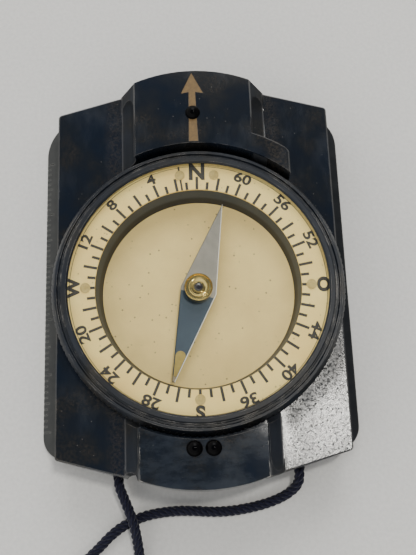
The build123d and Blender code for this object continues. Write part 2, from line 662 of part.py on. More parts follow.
turned(
    "needle_hub",
    (HUB_BORE_RADIUS, HUB_BOTTOM),
    (HUB_COLLAR_RADIUS, HUB_BOTTOM),
    (HUB_COLLAR_RADIUS, NEEDLE_BOTTOM),
    (HUB_STEM_RADIUS, NEEDLE_BOTTOM),
    (HUB_STEM_RADIUS, needle_top),
    (HUB_CAP_RADIUS - HUB_UNDERCUT, needle_top),
    (HUB_CAP_RADIUS, needle_top + HUB_UNDERCUT),
    (HUB_CAP_RADIUS, HUB_RIM_Z - HUB_CHAMFER),
    (HUB_CAP_RADIUS - HUB_CHAMFER, HUB_RIM_Z),
    (HUB_DISH_OUTER + HUB_CHAMFER, HUB_RIM_Z),
    (HUB_DISH_OUTER, HUB_DISH_Z),
    (HUB_DISH_INNER, HUB_DISH_Z),
    (HUB_DISH_INNER, HUB_CROWN_Z - HUB_CROWN_BEVEL),
    (HUB_CROWN_OUTER, HUB_CROWN_Z),
    (HUB_CROWN_INNER, HUB_CROWN_Z),
    (HUB_CONE_FOOT, HUB_CONE_Z),
    (HUB_COLLAR_EDGE, HUB_COLLAR_Z),
    (JEWEL_RADIUS, HUB_COLLAR_Z),
    (JEWEL_RADIUS, JEWEL_BOTTOM),
    (HUB_BORE_RADIUS, JEWEL_BOTTOM),
)
turned(
    "needle_jewel",
    (JEWEL_CUP_RADIUS, JEWEL_BOTTOM),
    (JEWEL_RADIUS, JEWEL_BOTTOM),
    (JEWEL_RADIUS, JEWEL_SHOULDER_Z),
    (JEWEL_FACET_RADIUS, JEWEL_FACET_Z),
    (JEWEL_TABLE_RADIUS, JEWEL_TOP),
    (0, JEWEL_TOP),
    (0, PIN_TIP_Z + JEWEL_PLAY),
)

with BuildPart() as needle_lume:
    # A drop of luminous paste near the south tip, its round end towards the hub.
    with BuildSketch(Plane.XY.offset(needle_top).rotated((0, 0, NEEDLE_HEADING))):
        with Locations((0, LUME_DROP_Y)):
            Circle(LUME_DROP_RADIUS)
        Polygon(
            (LUME_DROP_RADIUS, LUME_DROP_Y),
            (NEEDLE_BLUNT_HALF, LUME_DROP_END_Y),
            (-NEEDLE_BLUNT_HALF, LUME_DROP_END_Y),
            (-LUME_DROP_RADIUS, LUME_DROP_Y),
            align=None,
        )
    extrude(amount=LUME_DOT_HEIGHT)
save(needle_lume, "needle_lume")


# =================================================================== lanyard
def cord_run(label, points):
    """A cord's tube: straight runs joined by arcs as large as the runs allow."""
    route_points = [Vector(*point) for point in points]
    runs = [after - before for before, after in zip(route_points, route_points[1:])]
    radii = []
    for run_in, run_out in zip(runs, runs[1:]):
        half_turn = radians(run_in.get_angle(run_out) / 2)
        radii.append(CORD_ARC_SHARE * min(run_in.length, run_out.length) / tan(half_turn))
    with BuildPart() as tube:
        with BuildLine() as route:
            FilletPolyline(*points, radius=radii)
        with BuildSketch(Plane(origin=route_points[0], z_dir=runs[0])):
            Circle(CORD_DIAMETER / 2)
        sweep()
    route_length = sum(edge.length for edge in route.edges())
    volume_ratio = tube.part.volume / (pi * (CORD_DIAMETER / 2) ** 2 * route_length)
    print(label, "radii", [round(radius, 1) for radius in radii])
    print(label, "length", round(route_length, 1), "volume ratio", round(volume_ratio, 4))
    save(tube, label)


left_exit = (CORD_LEFT_X, end_wall_y(SOUTH_CORNER_Y, CORD_LEFT_X), CORD_EXIT_Z)
right_exit = (CORD_RIGHT_X, end_wall_y(SOUTH_CORNER_Y, CORD_RIGHT_X), CORD_EXIT_Z)

with BuildPart() as lanyard_inner_run:
    # Inside the body, from one exit to the other.
    with BuildLine():
        FilletPolyline(
            left_exit,
            (CORD_LEFT_X, CORD_CROSS_Y, CORD_EXIT_Z),
            (CORD_RIGHT_X, CORD_CROSS_Y, CORD_EXIT_Z),
            right_exit,
            radius=CORD_INNER_BEND,
        )
    with BuildSketch(Plane(origin=left_exit, z_dir=(0, 1, 0))):
        Circle(CORD_DIAMETER / 2)
    sweep()
save(lanyard_inner_run, "lanyard_inner_run")

coil_x, coil_y = COIL_CENTRE

# Left strand: out of its exit, over the right strand, down and into the coil's lower layer.
cord_run("lanyard_left_run", [
    left_exit,
    (-14.5, -31.3, 3.4),
    (-13.9, -32.9, 3.25),
    (-13.05, -34.9, 3.0),
    (-11.95, -38.0, 3.0),
    (-11.45, -41.4, 1.5),
    (-11.1, -44.9, FLOOR),
    (-10.2, -49.4, FLOOR),
    (-8.7, -54.6, FLOOR),
    (-7.95, -59.0, FLOOR),
    (coil_x + COIL_OUTER_TURN, coil_y, FLOOR),
])

# Right strand: out of its exit, down to the surface, under the left strand and
# round to the coil's upper layer.
cord_run("lanyard_right_run", [
    right_exit,
    (15.9, -31.0, 3.4),
    (15.55, -32.3, 2.75),
    (14.2, -33.6, 1.6),
    (11.4, -34.9, FLOOR),
    (7.0, -35.9, FLOOR),
    (2.1, -36.35, FLOOR),
    (-3.9, -35.75, FLOOR),
    (-8.9, -36.1, FLOOR),
    (-12.4, -37.1, FLOOR),
    (-15.6, -38.9, FLOOR),
    (-18.6, -41.9, FLOOR),
    (-22.8, -45.3, FLOOR),
    (-27.6, -48.1, FLOOR),
    (-32.3, -51.6, 1.2),
    (-35.4, -57.4, 2.0),
    (coil_x - COIL_OUTER_TURN, coil_y, COIL_TOP),
])

with BuildPart() as lanyard_coil:
    # The rest of the cord, wound into a flat coil.
    coil_half_width = COIL_TURNS_ACROSS / 2 * CORD_DIAMETER
    with BuildSketch():
        with Locations(COIL_CENTRE):
            Circle(COIL_MIDDLE_RADIUS + coil_half_width)
            Circle(COIL_MIDDLE_RADIUS - coil_half_width, mode=Mode.SUBTRACT)
    extrude(amount=COIL_LAYERS * CORD_DIAMETER)
save(lanyard_coil, "lanyard_coil")
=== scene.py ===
"""A marching compass with a ruler plate and a lanyard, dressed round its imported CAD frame.

Everything is in metres in the frame of the CAD: the origin under the needle's pivot on the
underside, +Y along the painted arrow, +X to its right, +Z up. MM turns millimetres into metres.
"""
import math

import bmesh
import bpy
import numpy as np
from mathutils import Matrix, Vector


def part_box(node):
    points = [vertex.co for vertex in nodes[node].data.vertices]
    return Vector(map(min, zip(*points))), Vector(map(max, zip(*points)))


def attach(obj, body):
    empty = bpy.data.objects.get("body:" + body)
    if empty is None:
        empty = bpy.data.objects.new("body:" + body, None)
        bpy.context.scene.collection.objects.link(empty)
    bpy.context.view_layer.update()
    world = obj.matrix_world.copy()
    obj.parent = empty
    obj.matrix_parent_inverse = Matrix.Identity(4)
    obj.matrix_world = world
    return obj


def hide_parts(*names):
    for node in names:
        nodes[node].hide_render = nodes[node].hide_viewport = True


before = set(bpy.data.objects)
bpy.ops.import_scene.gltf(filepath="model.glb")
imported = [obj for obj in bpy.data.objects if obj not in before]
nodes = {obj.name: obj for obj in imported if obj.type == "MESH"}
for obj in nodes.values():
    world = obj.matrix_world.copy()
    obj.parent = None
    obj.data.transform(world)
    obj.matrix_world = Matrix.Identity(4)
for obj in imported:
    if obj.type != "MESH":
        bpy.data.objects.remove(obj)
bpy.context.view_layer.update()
MM = 0.001

# ------------------------------------------------------------------ camera
CAMERA_PLACE = Vector((-0.31, -36.1, 146.6)) * MM
CAMERA_TURN = (math.radians(15.73), math.radians(-0.24), math.radians(-2.1))
CAMERA_LENS = 53.88
CAMERA_SENSOR = 36.0
CAMERA_NEAR = 0.01

camera_data = bpy.data.cameras.new("camera")
camera_data.lens = CAMERA_LENS
camera_data.sensor_width = CAMERA_SENSOR
camera_data.clip_start = CAMERA_NEAR
camera = bpy.data.objects.new("camera", camera_data)
camera.location = CAMERA_PLACE
camera.rotation_euler = CAMERA_TURN
bpy.context.scene.collection.objects.link(camera)
bpy.context.scene.camera = camera

# ------------------------------------------------------------------- cord
CORD_DIAMETER = 1.8 * MM
CORD_STRANDS = 3
CORD_LAY = 3.0 * MM              # length of one full turn of the strands
FLOOR_CORD = 0.9                 # centre height of a cord that lies on the surface, in mm
COIL_CENTRE = (-22.0, -63.0)     # mm
COIL_OUTER = 14.1
COIL_INNER = 6.9
COIL_TOP = 2.7
COIL_STEPS = 24                  # points per turn
COIL_SPIRAL_TURNS = 4            # on each layer
COIL_LAST_TURNS = 1.5            # the climb, and half a turn round the outside of the top layer
CORD_SMOOTHNESS = 12             # points that the spline gives between two of the route's
CORD_STEP = 0.3 * MM
STRAND_SIDES = 8
ANY_DIRECTION = (0.31, 0.17, 0.93)   # only has to differ from the cord's own

LEFT_ROUTE = [
    (-14.5, -30.03, 3.4),
    (-14.5, -31.3, 3.4),
    (-13.9, -32.9, 3.25),
    (-13.05, -34.9, 3.0),
    (-11.95, -38.0, 3.0),
    (-11.45, -41.4, 1.5),
    (-11.1, -44.9, FLOOR_CORD),
    (-10.2, -49.4, FLOOR_CORD),
    (-8.7, -54.6, FLOOR_CORD),
    (-7.95, -59.0, FLOOR_CORD),
]
RIGHT_ROUTE = [
    (-35.4, -57.4, 2.0),
    (-32.3, -51.6, 1.2),
    (-27.6, -48.1, FLOOR_CORD),
    (-22.8, -45.3, FLOOR_CORD),
    (-18.6, -41.9, FLOOR_CORD),
    (-15.6, -38.9, FLOOR_CORD),
    (-12.4, -37.1, FLOOR_CORD),
    (-8.9, -36.1, FLOOR_CORD),
    (-3.9, -35.75, FLOOR_CORD),
    (2.1, -36.35, FLOOR_CORD),
    (7.0, -35.9, FLOOR_CORD),
    (11.4, -34.9, FLOOR_CORD),
    (14.2, -33.6, 1.6),
    (15.55, -32.3, 2.75),
    (15.9, -31.0, 3.4),
    (15.9, -29.65, 3.4),
]


def coil_route():
    """The coil's turns, clockwise from its east side: in along the surface, up, and out on top."""
    turns = 2 * COIL_SPIRAL_TURNS + COIL_LAST_TURNS
    pitch = (COIL_OUTER - COIL_INNER) / COIL_SPIRAL_TURNS
    points = []
    for step in range(round(turns * COIL_STEPS) + 1):
        turn = step / COIL_STEPS
        if turn <= COIL_SPIRAL_TURNS:
            radius, height = COIL_OUTER - pitch * turn, FLOOR_CORD
        elif turn <= COIL_SPIRAL_TURNS + 1:
            climb = turn - COIL_SPIRAL_TURNS
            radius, height = COIL_INNER, FLOOR_CORD + (COIL_TOP - FLOOR_CORD) * climb
        else:
            radius = min(COIL_OUTER, COIL_INNER + pitch * (turn - COIL_SPIRAL_TURNS - 1))
            height = COIL_TOP
        angle = -2 * math.pi * turn
        x, y = COIL_CENTRE
        points.append((x + radius * math.cos(angle), y + radius * math.sin(angle), height))
    return points


def cord_line(name, points_mm):
    """A NURBS spline with these control points; returns its evaluated points in metres."""
    data = bpy.data.curves.new(name, "CURVE")
    data.dimensions = "3D"
    data.resolution_u = CORD_SMOOTHNESS
    spline = data.splines.new("NURBS")
    spline.points.add(len(points_mm) - 1)
    for point, place in zip(spline.points, points_mm):
        point.co = (*[value * MM for value in place], 1.0)
    spline.order_u = 3
    spline.use_endpoint_u = True
    line = bpy.data.objects.new(name, data)
    bpy.context.scene.collection.objects.link(line)
    bpy.context.view_layer.update()
    mesh = bpy.data.meshes.new_from_object(line)
    points = [vertex.co.copy() for vertex in mesh.vertices]
    bpy.data.objects.remove(line)
    return points


def spaced_points(points, spacing):
    """The line's points again, at even distances, and its length."""
    line = np.array(points)
    steps = np.linalg.norm(np.diff(line, axis=0), axis=1)
    along = np.concatenate([[0.0], np.cumsum(steps)])
    even = np.linspace(0.0, along[-1], max(2, round(along[-1] / spacing) + 1))
    return np.stack([np.interp(even, along, line[:, axis]) for axis in range(3)], axis=1), along[-1]


def line_frames(points):
    """A normal and a binormal at each point of a line, carried along it without twist."""
    tangents = np.gradient(points, axis=0)
    tangents /= np.linalg.norm(tangents, axis=1)[:, None]
    normal = np.cross(tangents[0], ANY_DIRECTION)
    normals = []
    for tangent in tangents:
        normal = normal - tangent * (normal @ tangent)
        normal = normal / np.linalg.norm(normal)
        normals.append(normal)
    normals = np.array(normals)
    return normals, np.cross(tangents, normals)


def add_piece(name, mesh, body, material):
    """A new object with that mesh and material, riding on a CAD body."""
    piece = bpy.data.objects.new(name, mesh)
    bpy.context.scene.collection.objects.link(piece)
    mesh.materials.clear()
    mesh.materials.append(material)
    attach(piece, body)
    return piece


def smooth(mesh):
    """Smooth shading on every face."""
    mesh.polygons.foreach_set("use_smooth", [True] * len(mesh.polygons))


def rope_mesh(name, path, length, diameter):
    """Strands laid round a path, each a tube with its own yarn direction in UV (turns, millimetres)."""
    strand_radius = diameter / 2 / (1 + 2 / math.sqrt(3))
    offset = diameter / 2 - strand_radius
    normals, binormals = line_frames(path)
    along = np.linspace(0.0, length, len(path))
    mesh_maker = bmesh.new()
    uv = mesh_maker.loops.layers.uv.new("yarn")
    angles = np.linspace(0.0, 2 * math.pi, STRAND_SIDES, endpoint=False)
    for strand in range(CORD_STRANDS):
        phase = 2 * math.pi * (along / CORD_LAY + strand / CORD_STRANDS)
        outward = np.cos(phase)[:, None] * normals + np.sin(phase)[:, None] * binormals
        centres = path + offset * outward
        across, up = line_frames(centres)
        rings = []
        for centre, right, high in zip(centres, across, up):
            spokes = [math.cos(angle) * right + math.sin(angle) * high for angle in angles]
            rings.append([mesh_maker.verts.new(centre + strand_radius * spoke) for spoke in spokes])
        for step, (ring, following) in enumerate(zip(rings, rings[1:])):
            for side in range(STRAND_SIDES):
                other = (side + 1) % STRAND_SIDES
                corners = (ring[side], ring[other], following[other], following[side])
                face = mesh_maker.faces.new(corners)
                u0, u1 = side / STRAND_SIDES, (side + 1) / STRAND_SIDES
                v0, v1 = along[step] / MM, along[step + 1] / MM
                for loop, place in zip(face.loops, ((u0, v0), (u1, v0), (u1, v1), (u0, v1))):
                    loop[uv].uv = place
        mesh_maker.faces.new(reversed(rings[0]))
        mesh_maker.faces.new(rings[-1])
    mesh = bpy.data.meshes.new(name)
    mesh_maker.to_mesh(mesh)
    mesh_maker.free()
    smooth(mesh)
    return mesh


# -------------------------------------------------------------- materials
EDGE_SAMPLES = 6
EDGE_START = 0.995               # how far true and rounded normals agree where wear begins
EDGE_FULL = 0.86                 # and where it is complete
PHENOLIC_IOR = 1.5
GLASS_IOR = 1.5

# Worn or dirty places, and places with painted highlight or shade, in mm. A pair says where a place
# begins and where it is complete, and a single value is its middle.
CORNER_X = (12.8, 14.5)          # the rubbed south-east corner
CORNER_Y = (-3.0, -11.0)
CORNER_RING_REACH = (28.5, 25.8)
LUG_X = (10.6, 10.2)             # the south lug
LUG_Y = (-19.0, -21.0)
LUG_SIDE_Y = (-18.0, -20.0)
LUG_TOP_Z = (14.85, 14.5)
LUG_SIDE_X = 10.05
CHANNEL_X = 11.4
CHANNEL_DUST_X = 14.0
RULER_X = (-24.2, -24.6)         # the plate's ruler bevel
EAST_X = (0.0, 20.0)
# Painted shade on the well's wall: where it begins and where it is black.
WELL_SHADE_Z = (10.7, 10.1)

NEEDLE_HEADING = math.radians(16.8)      # clockwise of north at rest
NEEDLE_SPLIT = (-0.75, -0.65)    # blue ends and bright begins, in mm along the needle
NEEDLE_BARE_TIP = (-15.0, -15.15)


class Paint:
    """A node material being made. Patterns are read in millimetres of the object's own space."""

    def __init__(self, name, **sockets):
        self.data = bpy.data.materials.new(name)
        self.data.use_nodes = True
        self.tree = self.data.node_tree
        self.shader = self.tree.nodes["Principled BSDF"]
        self.set(**sockets)
        place = self.add("TexCoord").outputs["Object"]
        scaled = self.add("VectorMath", {"Vector": place, "Scale": 1 / MM}, operation="SCALE")
        self.mm = scaled.outputs["Vector"]

    def wire(self, node, inputs):
        """Link each input that is another node's output, and set the others."""
        for key, value in inputs.items():
            if isinstance(value, bpy.types.NodeSocket):
                self.tree.links.new(value, node.inputs[key])
            else:
                node.inputs[key].default_value = value

    def set(self, **sockets):
        """Shader inputs by name, with spaces as underscores."""
        self.wire(self.shader, {key.replace("_", " "): value for key, value in sockets.items()})

    def add(self, kind, inputs=None, **settings):
        """A new shader node of that kind."""
        node = self.tree.nodes.new("ShaderNode" + kind)
        for key, value in settings.items():
            setattr(node, key, value)
        self.wire(node, inputs or {})
        return node

    def axis(self, name):
        """X, Y or Z in millimetres."""
        return self.add("SeparateXYZ", {"Vector": self.mm}).outputs[name]

    def stretched(self, shares):
        """The place in millimetres, each axis multiplied by its share."""
        return self.add("VectorMath", {0: self.mm, 1: shares}, operation="MULTIPLY").outputs["Vector"]

    def reach(self):
        """Distance from the middle of the dial in millimetres."""
        flat = self.stretched((1.0, 1.0, 0.0))
        return self.add("VectorMath", {0: flat}, operation="LENGTH").outputs["Value"]

    def noise(self, scale, detail=3.0, roughness=0.55, stretch=(1.0, 1.0, 1.0)):
        """scale is the number of features per millimetre."""
        place = self.stretched(stretch)
        inputs = {"Vector": place, "Scale": scale, "Detail": detail, "Roughness": roughness}
        return self.add("TexNoise", inputs).outputs["Fac"]

    def cells(self, scale):
        """Distance to the nearest of scattered points, scale of them per millimetre."""
        return self.add("TexVoronoi", {"Vector": self.mm, "Scale": scale}).outputs["Distance"]

    def math(self, operation, *values):
        return self.add("Math", dict(enumerate(values)), operation=operation).outputs["Value"]

    def times(self, first, second):
        return self.math("MULTIPLY", first, second)

    def fade(self, value, start, end, low=0.0, high=1.0):
        """low at start and before, high at end and beyond."""
        inputs = {"Value": value, "From Min": start, "From Max": end, "To Min": low, "To Max": high}
        return self.add("MapRange", inputs).outputs["Result"]

    def band(self, value, middle, half, soft):
        """1 within half of middle, falling to 0 over soft."""
        distance = self.math("ABSOLUTE", self.math("SUBTRACT", value, middle))
        return self.fade(distance, half + soft, half)

    def mix(self, share, under, over):
        """The colour under where share is 0 and the colour over where it is 1."""
        return self.add("MixRGB", {"Fac": share, "Color1": under, "Color2": over}).outputs["Color"]

    def edges(self, radius):
        """1 on convex and concave edges, 0 on flats, where radius in metres is the reach."""
        rounded = self.add("Bevel", {"Radius": radius}, samples=EDGE_SAMPLES).outputs["Normal"]
        true = self.add("NewGeometry").outputs["Normal"]
        agreement = self.add("VectorMath", {0: rounded, 1: true}, operation="DOT_PRODUCT")
        return self.fade(agreement.outputs["Value"], EDGE_START, EDGE_FULL)

    def bump(self, height, distance):
        """height from 0 to 1 stands for distance in metres."""
        normal = self.add("Bump", {"Height": height, "Distance": distance, "Strength": 1.0})
        self.set(Normal=normal.outputs["Normal"])


def colour(red, green, blue):
    """A colour with its alpha, from three linear shares."""
    return (red, green, blue, 1.0)


def make_bakelite(name, brown_share, gloss, mirror, edge_reach, edge_wear_and_highlight_grey, pitted):
    """Old black phenolic: bluish black, with brown dust, haze, and grey edges that are partly rubbed
    wear and partly painted highlight.

    gloss is the lowest roughness and mirror the specular level. The pitted piece is the body, with
    its rubbed corner, glossy south lug and grimy channels.
    """
    paint = Paint(name, IOR=PHENOLIC_IOR, Specular_IOR_Level=mirror)
    clouds = paint.noise(0.12, 4)
    grain = paint.noise(2.2, 3)
    bluish, brownish = colour(0.004, 0.0068, 0.013), colour(0.0065, 0.0075, 0.0085)
    base = paint.mix(paint.fade(clouds, 0.35, 0.6), bluish, brownish)
    haze = paint.fade(paint.noise(0.22, 5, 0.65, stretch=(1.0, 0.5, 1.0)), 0.5, 0.75)
    base = paint.mix(paint.times(haze, 0.35), base, colour(0.02, 0.025, 0.034))
    dust = paint.times(paint.fade(clouds, 0.5, 0.75), brown_share)
    dust = paint.times(dust, paint.fade(grain, 0.4, 0.65))
    base = paint.mix(dust, base, colour(0.05, 0.038, 0.025))
    motes = paint.times(paint.fade(paint.cells(0.7), 0.075, 0.045), paint.fade(grain, 0.42, 0.5))
    base = paint.mix(paint.times(motes, 0.4), base, colour(0.17, 0.16, 0.14))
    rub_and_highlight_share = 0.8
    if pitted:
        across = paint.math("ABSOLUTE", paint.axis("X"))
        # The sides of the south lug get the full pale edge colour: rubbed wear, and a painted highlight
        # along their rounded edges.
        lug_side = paint.band(across, LUG_SIDE_X, 0.35, 0.15)
        lug_side = paint.times(lug_side, paint.fade(paint.axis("Y"), *LUG_SIDE_Y))
        rub_and_highlight_share = paint.fade(lug_side, 0.0, 1.0, 0.15, 1.0)
    broken = paint.fade(paint.noise(0.25, 5, 0.7), 0.45, 0.6)
    # Pale edge colour: partly rubbed wear, partly a painted highlight where edges would catch the light.
    rubbed_and_highlit = paint.times(paint.times(paint.edges(edge_reach), broken), rub_and_highlight_share)
    base = paint.mix(rubbed_and_highlit, base, colour(edge_wear_and_highlight_grey, edge_wear_and_highlight_grey * 0.95, edge_wear_and_highlight_grey * 0.87))
    rough = paint.fade(clouds, 0.3, 0.7, gloss, gloss + 0.06)
    rough = paint.math("ADD", rough, paint.times(haze, 0.07))
    pit_share = 0.07
    if pitted:
        corner = paint.fade(paint.axis("X"), *CORNER_X)
        corner = paint.times(corner, paint.fade(paint.axis("Y"), *CORNER_Y))
        pit_share = paint.math("ADD", pit_share, paint.times(corner, 0.7))
        # Grime lies dull in the channels beside the lugs.
        hollow = paint.band(across, CHANNEL_X, 1.0, 0.4)
        hollow = paint.times(hollow, paint.fade(paint.axis("Z"), *LUG_TOP_Z))
        rough = paint.math("MAXIMUM", rough, hollow)
        # The south lug is glossy under pale smudges.
        lug = paint.times(paint.fade(across, *LUG_X), paint.fade(paint.axis("Y"), *LUG_Y))
        rough = paint.times(rough, paint.fade(lug, 0.0, 1.0, 1.0, 0.55))
        smudges = paint.fade(paint.noise(0.3, 6, 0.7, stretch=(0.5, 1.2, 1.0)), 0.42, 0.62)
        base = paint.mix(paint.times(paint.times(lug, smudges), 0.5), base, colour(0.03, 0.036, 0.045))
        # The corner is speckled and chipped, and dull close to the ring.
        speckle = paint.fade(paint.noise(2.0, 5, 0.8), 0.5, 0.6)
        chips = paint.fade(paint.cells(1.3), 0.2, 0.12)
        grime = paint.fade(paint.reach(), *CORNER_RING_REACH)
        dull = paint.math("MAXIMUM", paint.times(speckle, 0.2), paint.times(chips, 0.5))
        dull = paint.math("MAXIMUM", dull, paint.times(grime, paint.fade(speckle, 0.0, 1.0, 0.15, 0.7)))
        rough = paint.math("ADD", rough, paint.times(corner, dull))
        # Dust gathers along the outer edges of the channels.
        drift = paint.times(paint.band(across, CHANNEL_DUST_X, 0.3, 1.8), paint.fade(grain, 0.35, 0.65))
        base = paint.mix(paint.times(drift, 0.4), base, colour(0.04, 0.032, 0.024))
    paint.set(Base_Color=base, Roughness=rough)
    scratches = paint.noise(1.6, 2, 0.6, stretch=(1.0, 0.06, 1.0))
    pits = paint.times(paint.noise(2.4, 4, 0.75), 2.0)
    height = paint.math("ADD", paint.times(pits, pit_share), paint.times(scratches, 0.05))
    paint.bump(height, 0.014 * MM)
    return paint


def make_enamel():
    """Black stoved enamel, paler grey in patches along the ruler bevel and duller towards the east."""
    paint = Paint("plate_enamel", Specular_IOR_Level=0.22)
    wear = paint.edges(0.3 * MM)
    bevel = paint.fade(paint.axis("X"), *RULER_X)
    patches = paint.noise(0.35, 4)
    # The ruler bevel is coloured paler grey in patches.
    pale_bevel = paint.times(bevel, paint.fade(patches, 0.3, 0.6, 0.55, 1.0))
    base = paint.mix(paint.noise(0.2), colour(0.006, 0.008, 0.011), colour(0.01, 0.011, 0.013))
    base = paint.mix(pale_bevel, base, colour(0.034, 0.036, 0.036))
    base = paint.mix(paint.times(wear, 0.5), base, colour(0.22, 0.22, 0.21))
    rough = paint.fade(patches, 0.3, 0.7, 0.3, 0.5)
    rough = paint.math("ADD", rough, paint.fade(paint.axis("X"), *EAST_X, 0.0, 0.4))
    paint.set(Base_Color=base, Roughness=rough)
    paint.bump(paint.noise(3.0, 3), 0.01 * MM)
    return paint


def make_card(name, light, dark, speck_share):
    """Printed card gone yellow, with soft stains, fibre grain and tiny brown specks."""
    paint = Paint(name, Roughness=0.62, Specular_IOR_Level=0.3)
    stains = paint.noise(0.1, 5, 0.6)
    fibres = paint.noise(3.5, 3)
    base = paint.mix(paint.fade(stains, 0.35, 0.68), light, dark)
    base = paint.mix(paint.times(paint.fade(fibres, 0.35, 0.7), 0.12), base, dark)
    specks = paint.fade(paint.cells(0.9), 0.17, 0.08)
    chance = paint.fade(paint.noise(0.6, 2), 0.48, 0.56)
    specks = paint.times(paint.times(specks, chance), speck_share)
    base = paint.mix(specks, base, colour(0.1, 0.07, 0.04))
    paint.set(Base_Color=base)
    paint.bump(fibres, 0.006 * MM)
    return paint


def make_metal(name, tint, roughness, grain=2.0, stretch=(1.0, 1.0, 1.0)):
    """Bare metal with faint tool marks and tarnish."""
    paint = Paint(name, Metallic=1.0)
    marks = paint.noise(grain, 3, 0.6, stretch)
    tarnish = paint.noise(0.7, 4)
    darker = colour(*[value * 0.6 for value in tint])
    paint.set(Base_Color=paint.mix(paint.fade(tarnish, 0.5, 0.8), colour(*tint), darker))
    paint.set(Roughness=paint.fade(marks, 0.3, 0.7, roughness * 0.8, roughness * 1.3))
    paint.bump(marks, 0.004 * MM)
    return paint


def make_needle():
    """Bright steel on the north half, blued on the south half with a brown tip, split across the hub,
    with a painted highlight on the bevel's east-facing faces.
    """
    paint = make_metal("needle_steel_two_colour", (0.62, 0.62, 0.61), 0.36, 3.0, (1.0, 0.15, 1.0))
    along = (math.sin(NEEDLE_HEADING), math.cos(NEEDLE_HEADING), 0.0)
    place = paint.add("VectorMath", {0: paint.mm, 1: along}, operation="DOT_PRODUCT").outputs["Value"]
    north = paint.fade(place, *NEEDLE_SPLIT)
    mottle = paint.noise(0.5, 4)
    blue = paint.mix(mottle, colour(0.02, 0.036, 0.056), colour(0.034, 0.053, 0.076))
    silver = paint.mix(mottle, colour(0.17, 0.16, 0.14), colour(0.29, 0.268, 0.232))
    base = paint.mix(north, blue, silver)
    base = paint.mix(paint.fade(place, *NEEDLE_BARE_TIP), base, colour(0.2, 0.16, 0.1))
    # Painted highlight: faces of the bevel turned east are painted near-white and less metallic, as if
    # catching the light.
    facing = paint.add("SeparateXYZ", {"Vector": paint.add("TexCoord").outputs["Normal"]}).outputs
    painted_glint = paint.times(paint.fade(facing["X"], 0.3, 0.5), paint.fade(facing["Z"], 0.95, 0.85))
    base = paint.mix(painted_glint, base, colour(0.98, 0.98, 0.96))
    paint.set(Base_Color=base, Metallic=paint.fade(painted_glint, 0.0, 1.0, 0.35, 0.0))
    return paint


def make_lume(name, pale, deep):
    """Old luminous paste: granular, matt, gone brownish grey in blotches."""
    paint = Paint(name, Roughness=0.8, Specular_IOR_Level=0.2)
    grains = paint.noise(5.0, 3)
    blotches = paint.fade(paint.noise(1.3, 3), 0.4, 0.65)
    share = paint.times(paint.math("ADD", grains, blotches), 0.5)
    paint.set(Base_Color=paint.mix(share, pale, deep))
    paint.bump(grains, 0.03 * MM)
    return paint


def make_arrow():
    """Ochre inlay paint with dark pits."""
    paint = Paint("arrow_ochre", Roughness=0.6)
    grains = paint.noise(2.5, 4)
    base = paint.mix(grains, colour(0.05, 0.029, 0.008), colour(0.19, 0.11, 0.026))
    pits = paint.fade(paint.cells(1.6), 0.16, 0.08)
    paint.set(Base_Color=paint.mix(paint.times(pits, 0.7), base, colour(0.09, 0.05, 0.03)))
    paint.bump(grains, 0.02 * MM)
    return paint


def make_simple(name, light, dark, roughness, grain=2.0, depth=0.006, **sockets):
    """A plain surface whose tone, gloss and relief vary a little."""
    paint = Paint(name, **sockets)
    clouds = paint.noise(grain, 3)
    paint.set(Base_Color=paint.mix(clouds, light, dark))
    paint.set(Roughness=paint.fade(clouds, 0.3, 0.7, roughness * 0.85, roughness * 1.2))
    paint.bump(clouds, depth * MM)
    return paint


def make_capsule():
    """Grey-brown enamel on the well's wall with pale scuffs, and painted shade that turns it black
    towards its foot.
    """
    paint = Paint("capsule_enamel", Roughness=0.5)
    clouds = paint.noise(0.5, 4)
    wall = paint.mix(clouds, colour(0.028, 0.036, 0.044), colour(0.052, 0.062, 0.07))
    scuffs = paint.fade(paint.noise(2.5, 4, 0.7), 0.66, 0.74)
    wall = paint.mix(paint.times(scuffs, 0.5), wall, colour(0.2, 0.18, 0.13))
    # Painted shade: the wall is coloured near-black towards its foot.
    foot_shade = paint.fade(paint.axis("Z"), *WELL_SHADE_Z)
    paint.set(Base_Color=paint.mix(foot_shade, wall, colour(0.008, 0.009, 0.01)))
    paint.bump(clouds, 0.01 * MM)
    return paint


def make_crystal():
    """Flat glass: clear, with a mirror share that grows with the angle on outer faces only."""
    paint = Paint("crystal_glass")
    facing_out = paint.math("SUBTRACT", 1.0, paint.add("NewGeometry").outputs["Backfacing"])
    mirror_share = paint.times(paint.add("Fresnel", {"IOR": GLASS_IOR}).outputs["Fac"], facing_out)
    clear = paint.add("BsdfTransparent", {"Color": colour(0.98, 0.985, 0.97)}).outputs["BSDF"]
    smears = paint.fade(paint.noise(0.15, 4), 0.4, 0.75, 0.02, 0.09)
    mirror = paint.add("BsdfGlossy", {"Roughness": smears}).outputs["BSDF"]
    both = paint.add("MixShader", {0: mirror_share, 1: clear, 2: mirror}).outputs["Shader"]
    paint.tree.links.new(both, paint.tree.nodes["Material Output"].inputs["Surface"])
    return paint


YARN_LINES = 5.0                 # round one strand
YARN_LINES_PER_MM = 1.4          # along it


